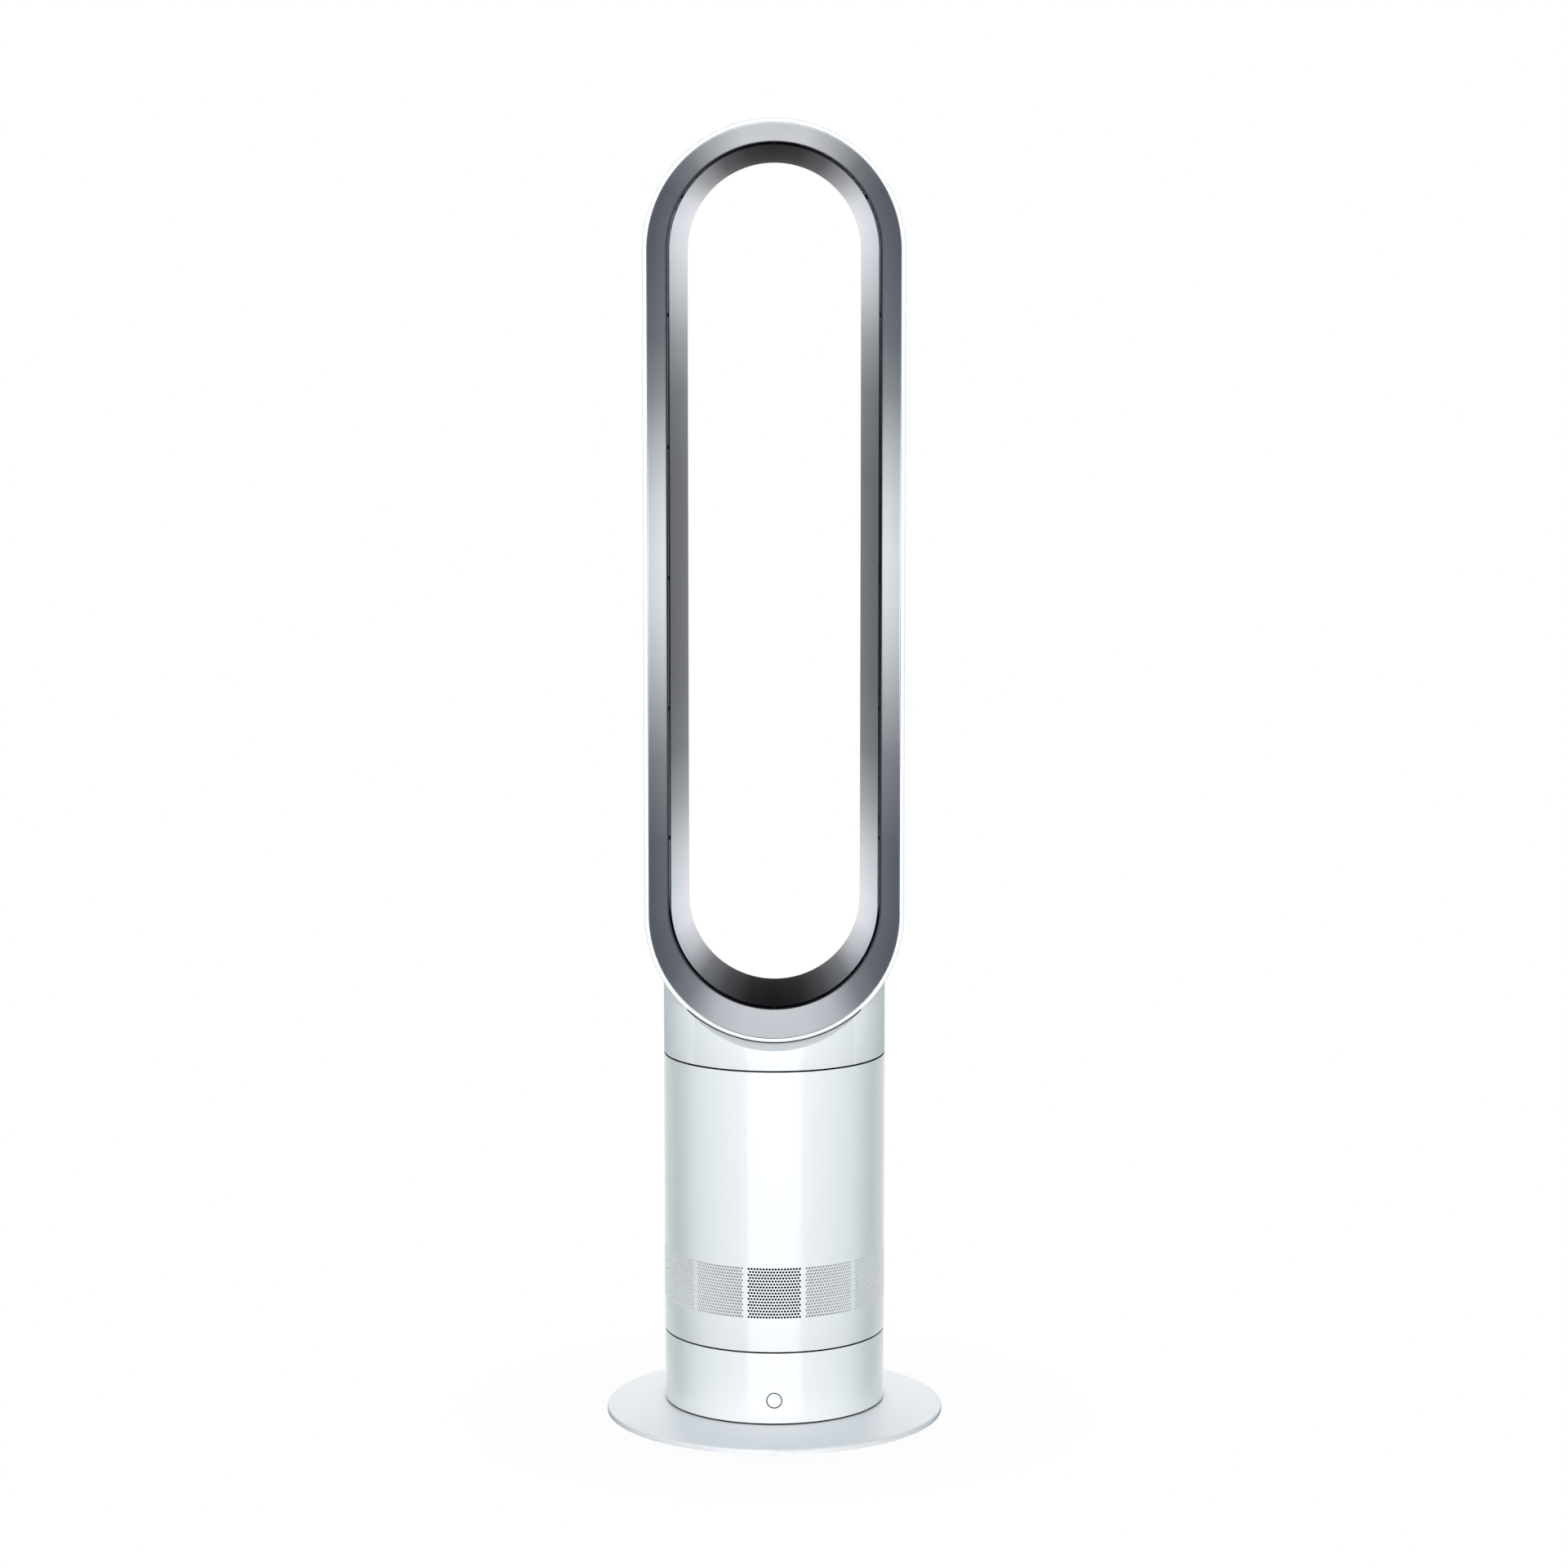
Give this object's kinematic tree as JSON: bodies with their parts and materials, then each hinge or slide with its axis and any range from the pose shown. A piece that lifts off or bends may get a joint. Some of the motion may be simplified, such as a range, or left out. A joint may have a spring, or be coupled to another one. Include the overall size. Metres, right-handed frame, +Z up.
{
  "type": "bladeless fan",
  "caption": "Tall bladeless tower fan: slotted stadium-shaped air loop on a round perforated body that swings on a base with a wide foot plate.",
  "frame": {"origin": "middle of the foot plate, on the surface that the fan stands on", "axes": "+Z up along the swing axis, -Y out of the front of the loop, +X to the right seen from the front"},
  "size_m": [0.263, 0.263, 1.0069],
  "materials": {
    "white_gloss": "glossy moulded white",
    "pale_plate": "glossy pale grey",
    "bright_silver": "mirror-like metallic silver",
    "dark_plastic": "matt moulded dark grey",
    "grey_plastic": "matt moulded grey",
    "ivory_plastic": "satin acetal",
    "black_rubber": "matt rubber",
    "dark_foam": "open-cell foam",
    "circuit_green": "solder-masked board",
    "steel": "plain steel",
    "brass": "machined brass",
    "copper": "enamelled copper wire"
  },
  "bodies": {
    "base": {"base_plate": "pale_plate", "foot_pads": "black_rubber", "plate_screws": "steel", "base_chassis": "dark_plastic", "base_housing": "white_gloss", "power_board": "circuit_green", "control_board": "circuit_green", "button_switch": "dark_plastic", "cord_gland": "black_rubber", "oscillation_motor": "steel", "motor_screws": "steel", "slide_ring": "ivory_plastic", "retaining_clip": "steel"},
    "button": {"power_button": "white_gloss"},
    "pinion": {"drive_pinion": "brass"},
    "turret": {"pivot_bush": "ivory_plastic", "turntable": "dark_plastic", "ring_gear": "ivory_plastic", "casing_screws": "steel", "body_casing": "white_gloss", "floor_foam": "dark_foam", "silencing_foam": "dark_foam", "intake_bellmouth": "grey_plastic", "impeller_housing": "grey_plastic", "isolation_mounts": "black_rubber", "air_seal": "black_rubber", "diffuser_vanes": "grey_plastic", "motor_bucket_lower": "dark_plastic", "motor_bucket_upper": "dark_plastic", "motor_stator": "steel", "motor_coils": "copper", "bearing_lower": "steel", "bearing_upper": "steel", "driver_board": "circuit_green", "outlet_duct": "grey_plastic", "collar_seal": "black_rubber", "nozzle_collar": "white_gloss", "nozzle_outer_shell": "white_gloss", "nozzle_front_duct": "bright_silver", "nozzle_rear_duct": "bright_silver", "slot_spacers": "dark_plastic", "turning_vanes": "grey_plastic"},
    "wheel": {"impeller": "dark_plastic", "rotor_magnet": "dark_plastic", "impeller_shaft": "steel"}
  },
  "joints": [
    {"name": "swing", "type": "hinge", "parent": "base", "child": "turret", "pos_m": [0, 0, 0.0676], "axis": [0, 0, 1], "range_deg": [-35, 35]},
    {"name": "pinion_spin", "type": "hinge", "parent": "base", "child": "pinion", "pos_m": [-0.03464, 0.02, 0.0565], "axis": [0, 0, 1], "range_deg": [-210, 210]},
    {"name": "wheel_spin", "type": "hinge", "parent": "turret", "child": "wheel", "pos_m": [0, 0, 0.17], "axis": [0, 0, 1], "continuous": true},
    {"name": "button_press", "type": "slide", "parent": "base", "child": "button", "axis": [0, 1, 0], "range_m": [0, 0.0008], "stiffness_N_per_m": 600}
  ],
  "couplings": [
    {"joint": "pinion_spin", "follows": "swing", "ratio": 6}
  ]
}
